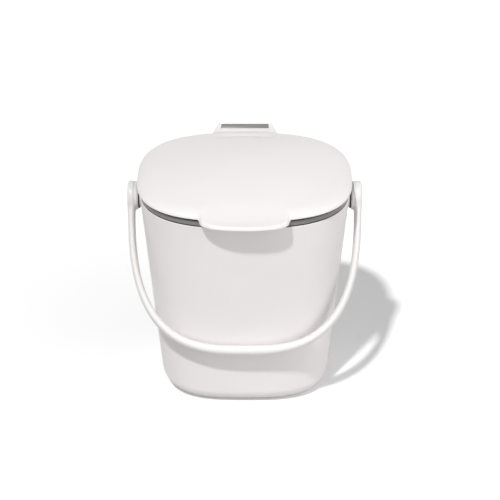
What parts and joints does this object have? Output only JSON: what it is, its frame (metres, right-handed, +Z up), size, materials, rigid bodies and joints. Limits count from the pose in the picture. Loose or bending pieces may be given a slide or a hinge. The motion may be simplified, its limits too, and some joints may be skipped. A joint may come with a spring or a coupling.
{
  "type": "compost caddy with hinged lid",
  "caption": "Countertop food-scrap caddy: tapered rounded-square bin with a grey rim collar, a domed lid on a rear hinge pin and a swinging bow handle.",
  "frame": {"origin": "centre of the bin's flat underside, on the surface that it stands on", "axes": "+Z up, the front with the lid's finger tab faces -Y, the hinge is at +Y, the handle's pivots lie on X"},
  "size_m": [0.1886, 0.1787, 0.1914],
  "materials": {
    "white_shell": "fine satin moulded polypropylene, warm white",
    "white_handle": "satin moulded plastic, the same white",
    "grey_trim": "satin mid-grey moulded plastic",
    "dark_seal": "matt dark elastomer",
    "pin_steel": "drawn stainless pin"
  },
  "bodies": {
    "bin": {"bin_body": "white_shell", "rim_gasket": "dark_seal", "rim_collar": "grey_trim", "hinge_pin": "pin_steel", "pivot_washer_left": "dark_seal", "pivot_washer_right": "dark_seal", "pivot_cap_left": "white_handle", "pivot_cap_right": "white_handle"},
    "lid": {"lid_shell": "white_shell", "lid_liner": "grey_trim", "lid_seal": "dark_seal"},
    "handle": {"handle": "white_handle"}
  },
  "joints": [
    {"name": "lid_hinge", "type": "hinge", "parent": "bin", "child": "lid", "pos_m": [0, 0.086, 0.1775], "axis": [-1, 0, 0], "range_deg": [0, 105]},
    {"name": "handle_swing", "type": "hinge", "parent": "bin", "child": "handle", "pos_m": [0, 0, 0.159], "axis": [-1, 0, 0], "range_deg": [0, 286.2]}
  ]
}
